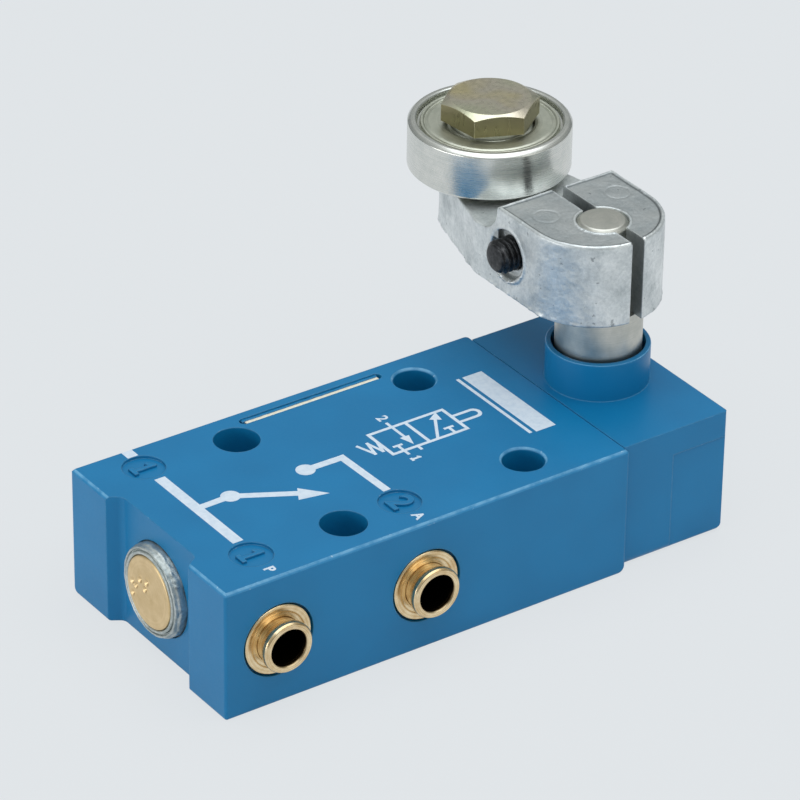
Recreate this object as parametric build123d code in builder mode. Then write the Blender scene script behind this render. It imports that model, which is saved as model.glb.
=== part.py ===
from build123d import *

import math
import os

# A lever-operated three-way limit valve. Millimetres, +Z up, +X towards the lever end, +Y away
# from the two visible ports. The origin is on the underside, at the centre of the four
# mounting holes.

# Valve body, a moulded block
body_length = 53.5
body_width = 31.0
body_height = 16.0
pattern_to_end = 30.5
hole_spacing_x = 24.0
hole_spacing_y = 21.0
end_hole_d = 5.3
lever_hole_d = 4.8
hole_chamfer = 0.25
edge_round = 0.35
joint_foot_round = 0.9
back_foot_round = 0.8

# Recess between the two ears of the closed end
recess_width = 16.6
recess_depth = 1.6
recess_slant = 1.0
recess_fillet = 1.0
ear_chamfer = 0.35

# Bore of the valve, along X at mid-height
valve_bore_d = 11.2

# Ports: the two supply ports face each other, the outlet is on the front only
supply_port_to_end = 6.8
outlet_port_to_end = 26.1
insert_flange_d = 8.5
insert_flange_t = 0.8
insert_rim_gap = 0.2
insert_d = 7.6
insert_length = 8.5
insert_bore_stop = 1.2
port_passage_d = 3.0

# Sunk discs on the top face, one beside each port
disc_d = 4.9
disc_depth = 0.35
disc_to_edge = 5.3
back_disc_to_edge = 4.25

# Push-in tube collets
tube_d = 4.0
tube_room = 0.10
collet_rim_d = 6.1
collet_neck_d = 5.4
collet_out = 2.1
collet_rim_t = 1.0
collet_travel = 1.0
collet_finger_length = 3.0
collet_lip_length = 0.9
collet_slit = 0.6
collet_slits = 4
collet_mouth_d = 4.6
tube_seal_cord = 1.0

# Exhaust slot near the back edge of the top face, with its leaf
slot_length = 19.1
slot_width = 1.2
slot_depth = 10.5
slot_to_back_edge = 1.5
slot_left_from_pattern = 9.7
strip_t = 0.3
strip_end_gap = 0.2
strip_sunk = 0.15
exhaust_passage_d = 2.4
exhaust_passage_past_cage = 4.1

# Plug of the closed end
collar_length = 3.5
collar_front_inset = 0.15
collar_lip_length = 1.5
collar_lip_d = 7.2
collar_groove_w = 0.25
collar_groove_depth = 0.3
collar_chamfer = 0.35
disc_plug_d = 8.6
disc_plug_inset = 0.05
disc_plug_chamfer = 0.2
end_seal_cord = 0.8

# Valve cage with a seat at each end, and the exhaust chamber next to it
cage_past_supply = 7.2
cage_past_outlet = 7.8
exhaust_chamber_length = 9.2
cage_bore_d = 5.8
seat_width = 0.6
seat_height = 0.5
cage_annulus_d = 9.0
cage_annulus_w = 6.0
cage_window_d = 2.6
cage_windows = 4
cage_seal_cord = 1.0
cage_seal_inset = 3.2

# Plunger: stem with its poppet head, two seals and the tappet
stroke = 1.8
seat_gap = 0.02
stem_d = 3.0
stem_screwed_length = 3.0
poppet_d = 8.4
poppet_t = 1.8
spring_boss_d = 4.0
spring_boss_length = 1.5
seal_t = 1.2
tappet_d = 7.0
tappet_head_t = 1.5
tappet_foot_chamfer = 0.4
guide_running_gap = 0.02
guide_seal_cord = 0.9
guide_seal_inset = 2.0

# Return spring
spring_d = 6.4
spring_wire_d = 0.7
spring_turns = 4.5
spring_end_gap = 0.06

# Head, a second moulding screwed to the lever end of the body
head_length = 14.5
head_inset = 1.0
head_drop = 0.2
head_floor = 3.0
head_roof = 3.0
head_end_wall = 1.5
cavity_width = 17.4
cavity_fillet = 0.8
shaft_to_joint = 7.0
boss_d = 12.0
boss_height = 4.5
boss_wall = 0.6
boss_edge_round = 0.2
side_step = 0.12
side_step_top = 12.5
head_foot_round = 1.0
roof_lip = 0.6
head_seal_cord = 1.1
head_seal_clear = 0.5

# Screws from the lever end into the body
screw_d = 3.0
screw_room = 0.2
screw_head_d = 5.4
screw_head_t = 3.0
screw_head_room = 0.1
screw_head_sunk = 0.2
screw_socket_af = 2.5
screw_socket_depth = 1.5
screw_grip = 7.0
screw_offset_y = 11.0

# Lever shaft and its two bushes
shaft_d = 10.0
shaft_pin_d = 6.0
shaft_pin_chamfer = 0.4
shaft_journal_d = 8.0
shaft_foot_d = 6.0
bush_running_gap = 0.02
shaft_seat_gap = 0.2
thrust_gap = 0.05
foot_bush_d = 7.6
foot_bush_flange_d = 9.4
foot_bush_flange_t = 0.8
foot_bush_sunk = 2.2
shaft_end_gap = 0.2
top_bush_length = 2.2
shaft_seal_cord = 1.3

# Cam: a circle and an involute lobe, so that the lift grows evenly with the turn
lever_turn = 45.0
cam_base_r = 5.0
cam_gap = 0.02
cam_thickness = 7.0
cam_overrun = 8.0
cam_tip_round = 0.5
cam_pin_d = 1.5
cam_pin_short = 0.2
stop_pin_d = 1.6
stop_pin_r = 4.7
stop_gap = 0.04
stop_pin_rise = 4.5
stop_pin_sunk = 1.6

# Clamp lever, a die casting
clamp_bottom = 25.7
clamp_top = 35.9
clamp_half_width = 8.1
clamp_nose_offset = 1.8
clamp_back = 9.0
clamp_edge_round = 0.4
clamp_split = 1.6
clamp_split_offset = 0.35
split_past_step = 0.7
pad_top = 32.3
pad_end_r = 5.7
taper_start = 13.0
pin_above_clamp = 0.1

# Clamp screw, across the jaws behind the shaft
clamp_screw_d = 4.0
clamp_screw_y = 6.85
clamp_screw_z = 30.8
clamp_screw_out = 1.75
clamp_screw_point = 0.55
clamp_sink_d = 5.8
clamp_sink_depth = 0.8
clamp_screw_head_d = 6.0
clamp_screw_head_t = 3.0
clamp_screw_head_room = 0.2
clamp_screw_room = 0.2
clamp_socket_af = 3.0
clamp_socket_depth = 1.6

# Roller: a ball bearing on a hexagon bolt
roller_x_offset = 0.5
roller_y = 22.3
bearing_bore_d = 6.0
bearing_d = 19.0
bearing_width = 6.0
bearing_chamfer = 0.35
ball_d = 3.5
ball_pitch_d = 12.5
ball_count = 7
ball_gap = 0.05
pocket_gap = 0.03
shoulder_height = 0.6
shield_t = 0.3
shield_sunk = 0.45
shield_seat_depth = 0.8
shield_gap = 0.15
cage_ring_t = 1.3
cage_ring_height = 4.1
washer_t = 0.7
washer_d = 9.0
bolt_af = 10.0
bolt_head_t = 2.6
bolt_face_d = 9.2
bolt_face_t = 0.1
bolt_head_chamfer = 0.55
bolt_head_turn = 36.0

# Places that follow from the sizes above
left_end = -pattern_to_end
joint_x = left_end + body_length
body_middle_x = (left_end + joint_x) / 2
half_width = body_width / 2
valve_z = body_height / 2
valve_bore_r = valve_bore_d / 2
recess_floor_x = left_end + recess_depth
supply_x = left_end + supply_port_to_end
outlet_x = left_end + outlet_port_to_end
cage_left_x = supply_x + cage_past_supply
cage_right_x = outlet_x + cage_past_outlet
guide_left = cage_right_x + exhaust_chamber_length
exhaust_passage_x = cage_right_x + exhaust_passage_past_cage
slot_y = half_width - slot_to_back_edge - slot_width / 2
slot_x = slot_length / 2 - slot_left_from_pattern
head_half_width = half_width - head_inset
head_height = body_height - head_drop
head_end = joint_x + head_length
shaft_x = joint_x + shaft_to_joint
boss_top = body_height + boss_height
boss_bore_r = boss_d / 2 - boss_wall
cavity_top = head_height - head_roof
cavity_end = head_end - head_end_wall
roller_x = shaft_x + roller_x_offset
bearing_bottom = pad_top + washer_t
bearing_top = bearing_bottom + bearing_width
bearing_middle = bearing_bottom + bearing_width / 2
shaft_top = clamp_top + pin_above_clamp
cam_bottom = head_floor + foot_bush_flange_t + thrust_gap
cam_top = cam_bottom + cam_thickness
lift_per_radian = stroke / math.radians(lever_turn)

# Planes whose own X runs along a turning axis, with the radius along their Y
valve_line = Plane(origin=(0, 0, valve_z), x_dir=(1, 0, 0), z_dir=(0, -1, 0))
shaft_line = Plane(origin=(shaft_x, 0, 0), x_dir=(0, 0, 1), z_dir=(0, 1, 0))
roller_line = Plane(origin=(roller_x, roller_y, 0), x_dir=(0, 0, 1), z_dir=(0, 1, 0))
port_line = Plane(origin=(0, 0, 0), x_dir=(0, 0, 1), z_dir=(0, 1, 0))
clamp_screw_line = Plane(
    origin=(0, clamp_screw_y, clamp_screw_z), x_dir=(1, 0, 0), z_dir=(0, -1, 0)
)

# Port mouths, with Z pointing out of the body
supply_front = Plane(origin=(supply_x, -half_width, valve_z), z_dir=(0, -1, 0))
supply_back = Plane(origin=(supply_x, half_width, valve_z), z_dir=(0, 1, 0))
outlet_front = Plane(origin=(outlet_x, -half_width, valve_z), z_dir=(0, -1, 0))
port_mouths = [supply_front.location, outlet_front.location, supply_back.location]


def turned(points, line, mode=Mode.ADD):
    """Turn a closed outline of (along, radius) points about the line's own axis."""
    with BuildSketch(line) as outline:
        with BuildLine():
            Polyline(*points, close=True)
        make_face()
    revolve(outline.sketch, axis=Axis(line.origin, line.x_dir), mode=mode)


def tube(start, end, inner_r, outer_r, line, mode=Mode.ADD):
    """A plain ring or tube on the line, from start to end."""
    turned([(start, inner_r), (end, inner_r), (end, outer_r), (start, outer_r)], line, mode)


def round_seal(along, inner_r, cord, line):
    """A round rubber seal whose inside just meets the given radius."""
    with BuildSketch(line) as section:
        with Locations((along, inner_r + cord / 2)):
            Circle(cord / 2)
    revolve(section.sketch, axis=Axis(line.origin, line.x_dir))


# Valve body
with BuildPart() as valve_body:
    with BuildSketch():
        with Locations((body_middle_x, 0)):
            Rectangle(body_length, body_width)
    extrude(amount=body_height)
    foot = valve_body.faces().sort_by(Axis.Z)[0]
    fillet(foot.edges().filter_by(Axis.Y).sort_by(Axis.X)[-1], radius=joint_foot_round)
    foot = valve_body.faces().sort_by(Axis.Z)[0]
    fillet(foot.edges().filter_by(Axis.X).sort_by(Axis.Y)[-1], radius=back_foot_round)
    corners = valve_body.edges().filter_by(Axis.Z)
    fillet(corners, radius=edge_round)
    # The recess narrows inwards, with rounded inner corners
    with BuildSketch():
        with BuildLine():
            Polyline(
                (left_end - recess_depth, recess_width / 2 + recess_slant),
                (recess_floor_x, recess_width / 2 - recess_slant),
                (recess_floor_x, recess_slant - recess_width / 2),
                (left_end - recess_depth, -recess_width / 2 - recess_slant),
                close=True,
            )
        make_face()
    extrude(amount=body_height, mode=Mode.SUBTRACT)
    inner_corners = valve_body.edges().filter_by(Axis.Z).filter_by(
        lambda edge: abs(edge.center().X - recess_floor_x) < edge_round
    )
    fillet(inner_corners, radius=recess_fillet)
    top_face = valve_body.faces().sort_by(Axis.Z)[-1]
    ear_edges = top_face.edges().filter_by(Axis.Y).filter_by(
        lambda edge: edge.center().X < left_end + edge_round / 2
    )
    chamfer(ear_edges, length=ear_chamfer)
    with BuildSketch(Plane(origin=(left_end, 0, valve_z), z_dir=(1, 0, 0))):
        Circle(valve_bore_r)
    extrude(amount=body_length, mode=Mode.SUBTRACT)
    with Locations(*port_mouths):
        Hole(radius=insert_flange_d / 2 + insert_rim_gap, depth=insert_flange_t)
        Hole(radius=insert_d / 2, depth=insert_length)
        Hole(radius=port_passage_d / 2, depth=half_width)
    with Locations((0, 0, body_height)):
        with GridLocations(2 * hole_spacing_x, hole_spacing_y, 1, 2):
            with Locations((-hole_spacing_x / 2, 0)):
                Hole(radius=end_hole_d / 2, depth=body_height)
            with Locations((hole_spacing_x / 2, 0)):
                Hole(radius=lever_hole_d / 2, depth=body_height)
    rims = valve_body.edges().filter_by(GeomType.CIRCLE).filter_by(
        lambda edge: abs(edge.radius - lever_hole_d / 2) < hole_chamfer / 2
    )
    chamfer(rims.group_by(Axis.Z)[-1], length=hole_chamfer)
    with BuildSketch(Plane.XY.offset(body_height)):
        with Locations((slot_x, slot_y)):
            SlotOverall(slot_length, slot_width)
    extrude(amount=-slot_depth, mode=Mode.SUBTRACT)
    with BuildSketch(Plane(origin=(exhaust_passage_x, slot_y, valve_z), z_dir=(0, -1, 0))):
        Circle(exhaust_passage_d / 2)
    extrude(amount=slot_y, mode=Mode.SUBTRACT)
    with BuildSketch(Plane.XY.offset(body_height)):
        with Locations(
            (supply_x, disc_to_edge - half_width),
            (outlet_x, disc_to_edge - half_width),
            (supply_x, half_width - back_disc_to_edge),
        ):
            Circle(disc_d / 2)
    extrude(amount=-disc_depth, mode=Mode.SUBTRACT)
    # The face that carries the head: a ring groove and two tapped holes
    tube(
        joint_x - head_seal_cord,
        joint_x,
        valve_bore_r + head_seal_clear,
        valve_bore_r + head_seal_clear + head_seal_cord,
        valve_line,
        Mode.SUBTRACT,
    )
    with Locations(Plane(origin=(joint_x, 0, valve_z), x_dir=(0, 1, 0), z_dir=(1, 0, 0))):
        with GridLocations(2 * screw_offset_y, 0, 2, 1):
            Hole(radius=screw_d / 2, depth=screw_grip)

# Round seal in the joint between the body and the head
with BuildPart() as head_seal:
    round_seal(
        joint_x - head_seal_cord / 2, valve_bore_r + head_seal_clear, head_seal_cord, valve_line
    )

# Brass leaf that lines the near side of the exhaust slot
with BuildPart() as exhaust_strip:
    with BuildSketch(Plane.XY.offset(body_height - strip_sunk)):
        with Locations((slot_x, slot_y - slot_width / 2 + strip_t / 2)):
            Rectangle(slot_length - slot_width - 2 * strip_end_gap, strip_t)
    extrude(amount=strip_sunk - slot_depth)

# Zinc collar and brass disc that close the valve bore
collar_front = left_end + collar_front_inset
collar_end = left_end + collar_length
collar_seat = collar_end - collar_lip_length
end_seal_x = collar_end - collar_lip_length / 2
groove_mid_r = (disc_plug_d / 2 + valve_bore_r) / 2
with BuildPart() as end_collar:
    turned(
        [
            (collar_front, disc_plug_d / 2),
            (collar_front, groove_mid_r - collar_groove_w / 2),
            (collar_front + collar_groove_depth, groove_mid_r),
            (collar_front, groove_mid_r + collar_groove_w / 2),
            (collar_front, valve_bore_r - collar_chamfer),
            (collar_front + collar_chamfer, valve_bore_r),
            (collar_end, valve_bore_r),
            (collar_end, collar_lip_d / 2),
            (collar_seat, collar_lip_d / 2),
            (collar_seat, disc_plug_d / 2),
        ],
        valve_line,
    )
    tube(
        end_seal_x - end_seal_cord / 2,
        end_seal_x + end_seal_cord / 2,
        valve_bore_r - end_seal_cord,
        valve_bore_r,
        valve_line,
        Mode.SUBTRACT,
    )

with BuildPart() as end_seal:
    round_seal(end_seal_x, valve_bore_r - end_seal_cord, end_seal_cord, valve_line)

disc_front = collar_front - disc_plug_inset
spring_pocket_r = spring_d / 2 + guide_running_gap
spring_seat_x = collar_end - collar_lip_length / 2
with BuildPart() as end_disc:
    turned(
        [
            (disc_front, 0),
            (disc_front, disc_plug_d / 2 - disc_plug_chamfer),
            (disc_front + disc_plug_chamfer, disc_plug_d / 2),
            (collar_seat, disc_plug_d / 2),
            (collar_seat, collar_lip_d / 2),
            (collar_end, collar_lip_d / 2),
            (collar_end, spring_pocket_r),
            (spring_seat_x, spring_pocket_r),
            (spring_seat_x, 0),
        ],
        valve_line,
    )

# Valve cage: seats at both ends, an annulus and windows for the outlet between them
supply_seat_x = cage_left_x - seat_height
exhaust_seat_x = cage_right_x + seat_height
cage_bore_r = cage_bore_d / 2
cage_seal_places = [cage_left_x + cage_seal_inset, cage_right_x - cage_seal_inset / 2]
with BuildPart() as valve_cage:
    turned(
        [
            (supply_seat_x, cage_bore_r),
            (supply_seat_x, cage_bore_r + seat_width / 2),
            (cage_left_x, cage_bore_r + seat_width),
            (cage_left_x, valve_bore_r),
            (outlet_x - cage_annulus_w / 2, valve_bore_r),
            (outlet_x - cage_annulus_w / 2, cage_annulus_d / 2),
            (outlet_x + cage_annulus_w / 2, cage_annulus_d / 2),
            (outlet_x + cage_annulus_w / 2, valve_bore_r),
            (cage_right_x, valve_bore_r),
            (cage_right_x, cage_bore_r + seat_width),
            (exhaust_seat_x, cage_bore_r + seat_width / 2),
            (exhaust_seat_x, cage_bore_r),
        ],
        valve_line,
    )
    for place in cage_seal_places:
        tube(
            place - cage_seal_cord / 2,
            place + cage_seal_cord / 2,
            valve_bore_r - cage_seal_cord,
            valve_bore_r,
            valve_line,
            Mode.SUBTRACT,
        )
    with Locations(Plane(origin=(outlet_x, 0, valve_z), z_dir=(1, 0, 0))):
        with PolarLocations(0, cage_windows):
            Cylinder(
                cage_window_d / 2,
                cage_annulus_d,
                rotation=(90, 0, 0),
                mode=Mode.SUBTRACT,
            )

with BuildPart() as cage_seals:
    for place in cage_seal_places:
        round_seal(place, valve_bore_r - cage_seal_cord, cage_seal_cord, valve_line)

# Plunger, shown with the supply seat closed
supply_seal_right = supply_seat_x - seat_gap
supply_seal_left = supply_seal_right - seal_t
poppet_left = supply_seal_left - poppet_t
exhaust_seal_left = exhaust_seat_x + stroke + seat_gap
exhaust_seal_right = exhaust_seal_left + seal_t
tappet_left = exhaust_seal_right
tappet_foot = shaft_x - cam_base_r - cam_gap
with BuildPart() as poppet_stem:
    turned(
        [
            (poppet_left - spring_boss_length, 0),
            (poppet_left - spring_boss_length, spring_boss_d / 2),
            (poppet_left, spring_boss_d / 2),
            (poppet_left, poppet_d / 2),
            (supply_seal_left, poppet_d / 2),
            (supply_seal_left, stem_d / 2),
            (tappet_left + stem_screwed_length, stem_d / 2),
            (tappet_left + stem_screwed_length, 0),
        ],
        valve_line,
    )

with BuildPart() as supply_seal:
    tube(supply_seal_left, supply_seal_right, stem_d / 2, poppet_d / 2, valve_line)

with BuildPart() as exhaust_seal:
    tube(exhaust_seal_left, exhaust_seal_right, stem_d / 2, poppet_d / 2, valve_line)

with BuildPart() as tappet:
    turned(
        [
            (tappet_left, stem_d / 2),
            (tappet_left, poppet_d / 2),
            (tappet_left + tappet_head_t, poppet_d / 2),
            (tappet_left + tappet_head_t, tappet_d / 2),
            (tappet_foot - tappet_foot_chamfer, tappet_d / 2),
            (tappet_foot, tappet_d / 2 - tappet_foot_chamfer),
            (tappet_foot, 0),
            (tappet_left + stem_screwed_length, 0),
            (tappet_left + stem_screwed_length, stem_d / 2),
        ],
        valve_line,
    )

# Bush that guides the tappet out of the body, with a seal in its bore
guide_bore_r = tappet_d / 2 + guide_running_gap
guide_seal_x = guide_left + guide_seal_inset
with BuildPart() as tappet_guide:
    tube(guide_left, joint_x, guide_bore_r, valve_bore_r, valve_line)
    tube(
        guide_seal_x - guide_seal_cord / 2,
        guide_seal_x + guide_seal_cord / 2,
        guide_bore_r,
        guide_bore_r + guide_seal_cord,
        valve_line,
        Mode.SUBTRACT,
    )

with BuildPart() as tappet_seal:
    round_seal(guide_seal_x, guide_bore_r, guide_seal_cord, valve_line)

# Return spring, between the end disc and the poppet head
coil_start = spring_seat_x + spring_wire_d / 2 + spring_end_gap
coil_end = poppet_left - spring_wire_d / 2 - spring_end_gap
with BuildPart() as return_spring:
    with BuildLine() as coil:
        Helix(
            pitch=(coil_end - coil_start) / spring_turns,
            height=coil_end - coil_start,
            radius=(spring_d - spring_wire_d) / 2,
            center=(coil_start, 0, valve_z),
            direction=(1, 0, 0),
        )
    with BuildSketch(Plane(origin=coil.line @ 0, z_dir=coil.line % 0)):
        Circle(spring_wire_d / 2)
    sweep()

# Port insert, drawn with its mouth at the origin and Z pointing out
neck_bore_r = collet_neck_d / 2 + guide_running_gap
finger_r = collet_neck_d / 2 + collet_lip_length / 3
finger_bore_r = finger_r + guide_running_gap
finger_shelf = -insert_flange_t - collet_neck_d / 4
collet_tail = finger_shelf - collet_finger_length
seal_shelf = collet_tail - collet_travel - insert_rim_gap
tube_stop = insert_bore_stop - insert_length
with BuildPart(mode=Mode.PRIVATE) as insert_form:
    turned(
        [
            (0, neck_bore_r),
            (0, insert_flange_d / 2),
            (-insert_flange_t, insert_flange_d / 2),
            (-insert_flange_t, insert_d / 2),
            (-insert_length, insert_d / 2),
            (-insert_length, port_passage_d / 2),
            (tube_stop, port_passage_d / 2),
            (tube_stop, tube_d / 2 + tube_seal_cord),
            (seal_shelf, tube_d / 2 + tube_seal_cord),
            (seal_shelf, finger_bore_r),
            (finger_shelf, finger_bore_r),
            (finger_shelf, neck_bore_r),
        ],
        port_line,
    )

with BuildPart() as port_inserts:
    with Locations(*port_mouths):
        add(insert_form.part)

with BuildPart(mode=Mode.PRIVATE) as tube_seal_form:
    round_seal(tube_stop + tube_seal_cord / 2, tube_d / 2, tube_seal_cord, port_line)

with BuildPart() as tube_seals:
    with Locations(*port_mouths):
        add(tube_seal_form.part)

# Collet: a rim to press, a neck, and sprung fingers behind the shelf of the insert
collet_bore_r = tube_d / 2 + tube_room
with BuildPart(mode=Mode.PRIVATE) as collet_form:
    turned(
        [
            (collet_out, collet_mouth_d / 2),
            (collet_out, collet_rim_d / 2),
            (collet_out - collet_rim_t, collet_rim_d / 2),
            (collet_out - collet_rim_t, collet_neck_d / 2),
            (finger_shelf - collet_slit / 2, collet_neck_d / 2),
            (finger_shelf - collet_slit / 2, finger_r),
            (collet_tail + collet_lip_length, finger_r),
            (collet_tail, finger_r - collet_lip_length / 3),
            (collet_tail, collet_bore_r),
            (collet_out - collet_slit, collet_bore_r),
        ],
        port_line,
    )
    rim_edges = collet_form.edges().filter_by(GeomType.CIRCLE).filter_by(
        lambda edge: abs(edge.radius - collet_rim_d / 2) < guide_running_gap
    )
    fillet(rim_edges, radius=collet_rim_t / 4)
    with BuildSketch(Plane.XY.offset(collet_tail)):
        with PolarLocations(collet_rim_d / 2, collet_slits):
            Rectangle(collet_rim_d, collet_slit)
        Circle(collet_bore_r / 2, mode=Mode.SUBTRACT)
    extrude(amount=collet_finger_length, mode=Mode.SUBTRACT)

with BuildPart() as collet_supply_front:
    with Locations(supply_front.location):
        add(collet_form.part)

with BuildPart() as collet_outlet:
    with Locations(outlet_front.location):
        add(collet_form.part)

with BuildPart() as collet_supply_back:
    with Locations(supply_back.location):
        add(collet_form.part)

# Head housing: a hollow block with a boss round the shaft
foot_bush_r = foot_bush_d / 2
top_bush_bottom = cavity_top + roof_lip
top_bush_top = top_bush_bottom + top_bush_length
journal_top = top_bush_top + shaft_seal_cord
with BuildPart() as head_housing:
    with BuildSketch():
        with Locations(((joint_x + head_end) / 2, 0)):
            Rectangle(head_length, 2 * head_half_width)
    extrude(amount=head_height)
    far_corners = head_housing.edges().filter_by(Axis.Z).group_by(Axis.X)[-1]
    fillet(far_corners, radius=edge_round)
    far_end = head_housing.faces().filter_by(Plane.YZ).sort_by(Axis.X)[-1]
    fillet(far_end.edges().filter_by(Axis.Y).sort_by(Axis.Z)[0], radius=head_foot_round)
    # Low down, the front and back faces stand back slightly on the far side of the shaft
    with BuildSketch():
        with Locations(
            ((shaft_x + head_end) / 2, head_half_width),
            ((shaft_x + head_end) / 2, -head_half_width),
        ):
            Rectangle(head_end - shaft_x, 2 * side_step)
    extrude(amount=side_step_top, mode=Mode.SUBTRACT)
    with BuildSketch(Plane.XY.offset(head_height)):
        with Locations((shaft_x, 0)):
            Circle(boss_d / 2)
    extrude(amount=boss_top - head_height)
    boss_rim = head_housing.faces().sort_by(Axis.Z)[-1].edges()
    fillet(boss_rim, radius=boss_edge_round)
    with BuildSketch(Plane.XY.offset(head_floor)) as cavity:
        with Locations(((joint_x + cavity_end) / 2, 0)):
            Rectangle(cavity_end - joint_x, cavity_width)
        fillet(cavity.vertices().group_by(Axis.X)[-1], radius=cavity_fillet)
    extrude(amount=cavity_top - head_floor, mode=Mode.SUBTRACT)
    lip_r = shaft_journal_d / 2 + shaft_seat_gap
    tube(cavity_top, boss_top, 0, lip_r, shaft_line, Mode.SUBTRACT)
    tube(top_bush_bottom, boss_top, 0, boss_bore_r, shaft_line, Mode.SUBTRACT)
    tube(head_floor - foot_bush_sunk, head_floor, 0, foot_bush_r, shaft_line, Mode.SUBTRACT)
    with Locations((shaft_x + stop_pin_r, 0, head_floor)):
        Hole(radius=stop_pin_d / 2, depth=stop_pin_sunk)
    with Locations(Plane(origin=(head_end, 0, valve_z), x_dir=(0, 1, 0), z_dir=(1, 0, 0))):
        with GridLocations(2 * screw_offset_y, 0, 2, 1):
            CounterBoreHole(
                radius=(screw_d + screw_room) / 2,
                counter_bore_radius=screw_head_d / 2 + screw_head_room,
                counter_bore_depth=screw_head_t + screw_head_sunk,
                depth=head_length,
            )

# The two screws that hold the head on
screw_seat_x = head_end - screw_head_t - screw_head_sunk
screw_side = Plane(origin=(screw_seat_x, 0, valve_z), x_dir=(0, 1, 0), z_dir=(1, 0, 0))
with BuildPart() as head_screws:
    with BuildSketch(screw_side):
        with GridLocations(2 * screw_offset_y, 0, 2, 1):
            Circle(screw_head_d / 2)
    extrude(amount=screw_head_t)
    with BuildSketch(screw_side):
        with GridLocations(2 * screw_offset_y, 0, 2, 1):
            Circle(screw_d / 2)
    extrude(amount=joint_x - screw_grip - screw_seat_x)
    with BuildSketch(screw_side.offset(screw_head_t)):
        with GridLocations(2 * screw_offset_y, 0, 2, 1):
            RegularPolygon(screw_socket_af / 2, 6, major_radius=False)
    extrude(amount=-screw_socket_depth, mode=Mode.SUBTRACT)

# Bushes, seal and stop pin in the head
foot_bore_r = shaft_foot_d / 2 + bush_running_gap
with BuildPart() as foot_bush:
    turned(
        [
            (head_floor - foot_bush_sunk, foot_bore_r),
            (head_floor - foot_bush_sunk, foot_bush_r),
            (head_floor, foot_bush_r),
            (head_floor, foot_bush_flange_d / 2),
            (head_floor + foot_bush_flange_t, foot_bush_flange_d / 2),
            (head_floor + foot_bush_flange_t, foot_bore_r),
        ],
        shaft_line,
    )
    with Locations((shaft_x + stop_pin_r, 0, head_floor)):
        Cylinder(
            stop_pin_d / 2 + bush_running_gap,
            foot_bush_flange_t,
            align=(Align.CENTER, Align.CENTER, Align.MIN),
            mode=Mode.SUBTRACT,
        )

with BuildPart() as top_bush:
    tube(
        top_bush_bottom,
        top_bush_top,
        shaft_journal_d / 2 + bush_running_gap,
        boss_bore_r,
        shaft_line,
    )

with BuildPart() as shaft_seal:
    round_seal(
        top_bush_top + shaft_seal_cord / 2,
        boss_bore_r - shaft_seal_cord,
        shaft_seal_cord,
        shaft_line,
    )

with BuildPart() as stop_pin:
    with BuildSketch(Plane.XY.offset(head_floor - stop_pin_sunk)):
        with Locations((shaft_x + stop_pin_r, 0)):
            Circle(stop_pin_d / 2)
    extrude(amount=stop_pin_sunk + foot_bush_flange_t + stop_pin_rise)

# Lever shaft: foot journal, cam seat, top journal, collar and the pin for the clamp
shaft_shoulder = journal_top + shaft_seat_gap
with BuildPart() as lever_shaft:
    turned(
        [
            (head_floor - foot_bush_sunk + shaft_end_gap, 0),
            (head_floor - foot_bush_sunk + shaft_end_gap, shaft_foot_d / 2),
            (cam_top, shaft_foot_d / 2),
            (cam_top, shaft_journal_d / 2),
            (shaft_shoulder, shaft_journal_d / 2),
            (shaft_shoulder, shaft_d / 2),
            (clamp_bottom, shaft_d / 2),
            (clamp_bottom, shaft_pin_d / 2),
            (shaft_top - shaft_pin_chamfer, shaft_pin_d / 2),
            (shaft_top, shaft_pin_d / 2 - shaft_pin_chamfer),
            (shaft_top, 0),
        ],
        shaft_line,
    )
    with Locations((shaft_x, 0, (cam_bottom + cam_top) / 2)):
        Cylinder(cam_pin_d / 2, shaft_d, rotation=(90, 0, 0), mode=Mode.SUBTRACT)


def cam_point(turn):
    """Where the working edge of the cam meets the tappet once it has turned so far."""
    facing = math.pi - math.radians(turn)
    reach = cam_base_r + lift_per_radian * math.radians(turn)
    return (
        reach * math.cos(facing) + lift_per_radian * math.sin(facing),
        reach * math.sin(facing) - lift_per_radian * math.cos(facing),
    )


def cam_heading(turn):
    """Direction of the working edge at that point."""
    facing = math.pi - math.radians(turn)
    return (math.sin(facing), -math.cos(facing))


lobe_end = lever_turn + cam_overrun
lobe_tip = cam_point(lobe_end)
lobe_turns = [lobe_end * step / 6 for step in range(7)]
tip_angle = math.atan2(lobe_tip[1], lobe_tip[0])
flank_angle = tip_angle - math.acos(cam_base_r / math.hypot(*lobe_tip))
flank_foot = (cam_base_r * math.cos(flank_angle), cam_base_r * math.sin(flank_angle))
cam_plane = Plane(origin=(shaft_x, 0, cam_bottom))
with BuildPart() as cam:
    with BuildSketch(cam_plane) as cam_outline:
        with BuildLine():
            Spline(
                *[cam_point(turn) for turn in lobe_turns],
                tangents=[cam_heading(0), cam_heading(lobe_end)],
            )
            Polyline(lobe_tip, flank_foot, (0, 0), (-cam_base_r, 0), cam_point(0))
        make_face()
        tip_corner = cam_outline.vertices().sort_by_distance((*lobe_tip, 0))[0]
        fillet(tip_corner, radius=cam_tip_round)
        Circle(cam_base_r)
    extrude(amount=cam_thickness)
    tube(cam_bottom, cam_top, 0, shaft_foot_d / 2, shaft_line, Mode.SUBTRACT)
    # The stop pin stands at one end of this slot at rest and at the other at full turn
    with BuildSketch(cam_plane):
        with BuildLine(mode=Mode.PRIVATE) as stop_path:
            CenterArc((0, 0), stop_pin_r, -lever_turn, lever_turn)
        SlotArc(stop_path.edge(), stop_pin_d + 2 * stop_gap)
    extrude(amount=stop_pin_rise + 2 * stop_gap, mode=Mode.SUBTRACT)
    with Locations((shaft_x, 0, (cam_bottom + cam_top) / 2)):
        Cylinder(cam_pin_d / 2, 4 * cam_base_r, rotation=(90, 0, 0), mode=Mode.SUBTRACT)

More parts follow.
